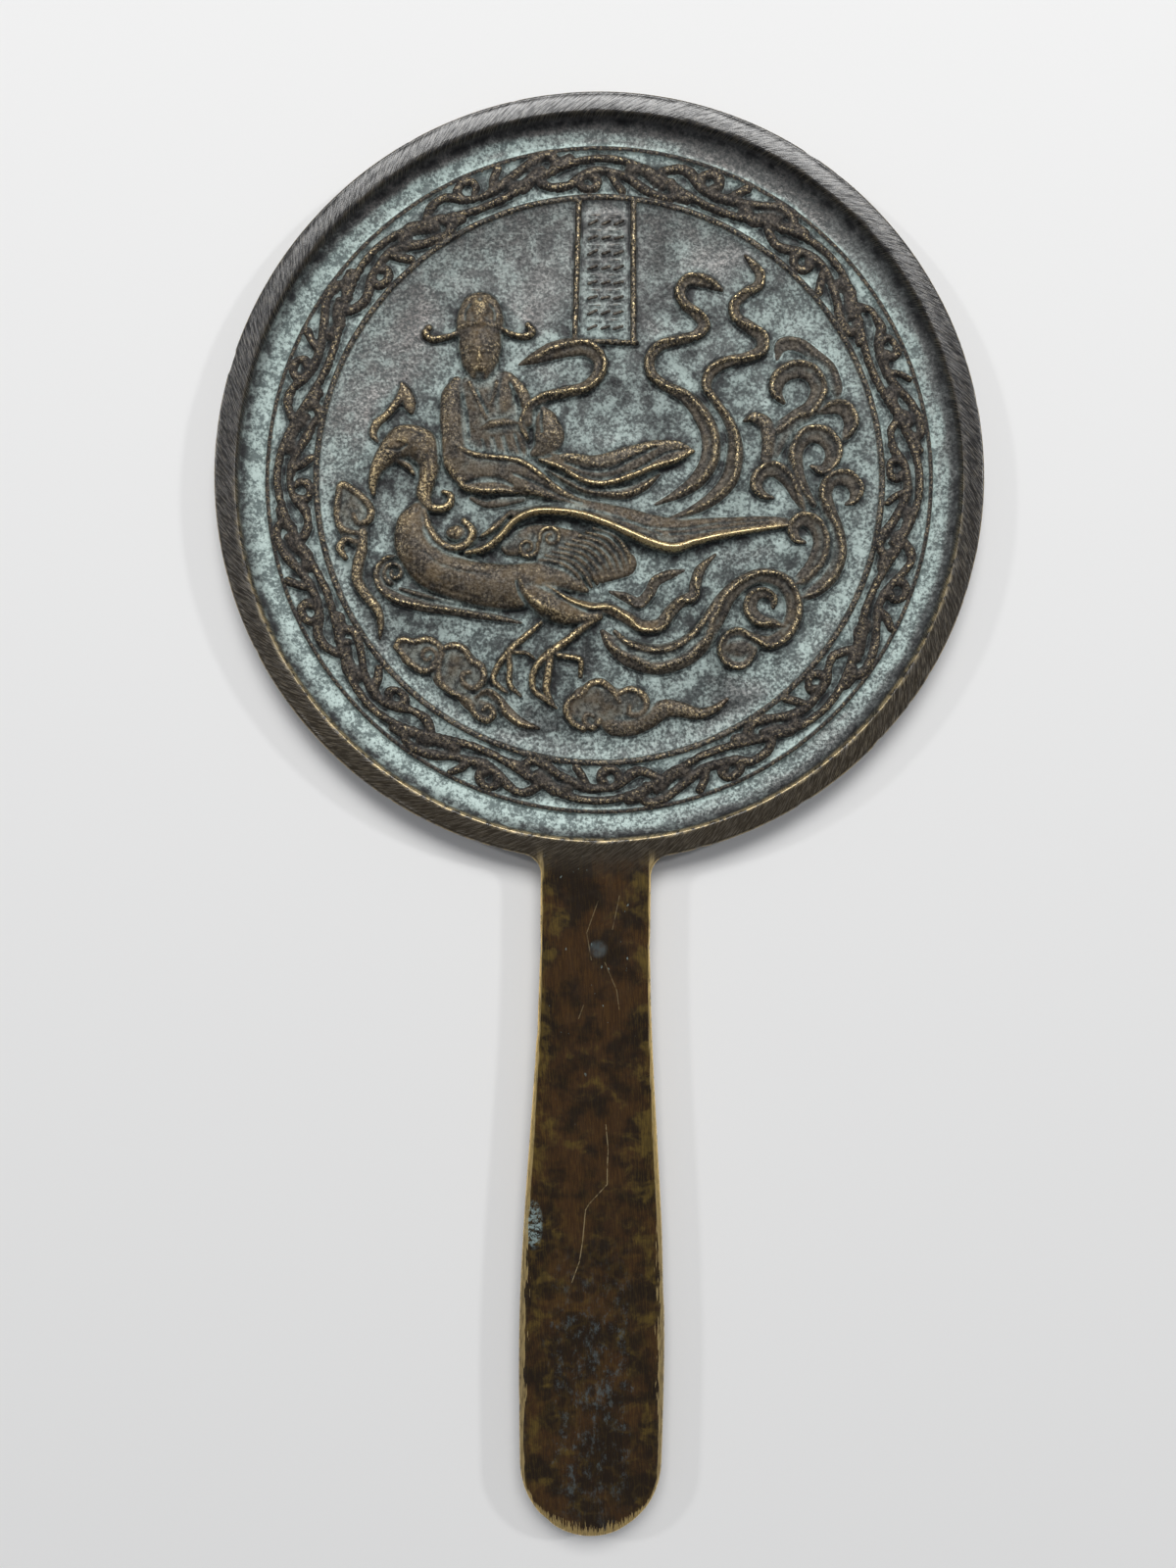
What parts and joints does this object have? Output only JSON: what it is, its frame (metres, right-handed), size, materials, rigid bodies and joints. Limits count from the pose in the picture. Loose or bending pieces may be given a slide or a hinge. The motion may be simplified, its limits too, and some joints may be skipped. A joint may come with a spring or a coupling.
{
  "type": "bronze hand mirror",
  "caption": "Cast bronze hand mirror: round disc with raised rim and relief back, and a long flat handle with a rounded end.",
  "frame": {"origin": "centre of the disc on the plain polished face, which is the underside", "axes": "+Z out of the decorated side, +Y away from the handle, +X to the right with the handle down"},
  "size_m": [0.126, 0.2363, 0.0046],
  "materials": {
    "patinated_bronze": "dark brown cast bronze, worn to warm metal on the high edges, with pale green patina in the hollows"
  },
  "bodies": {
    "root": {"mirror": "patinated_bronze"}
  },
  "joints": []
}
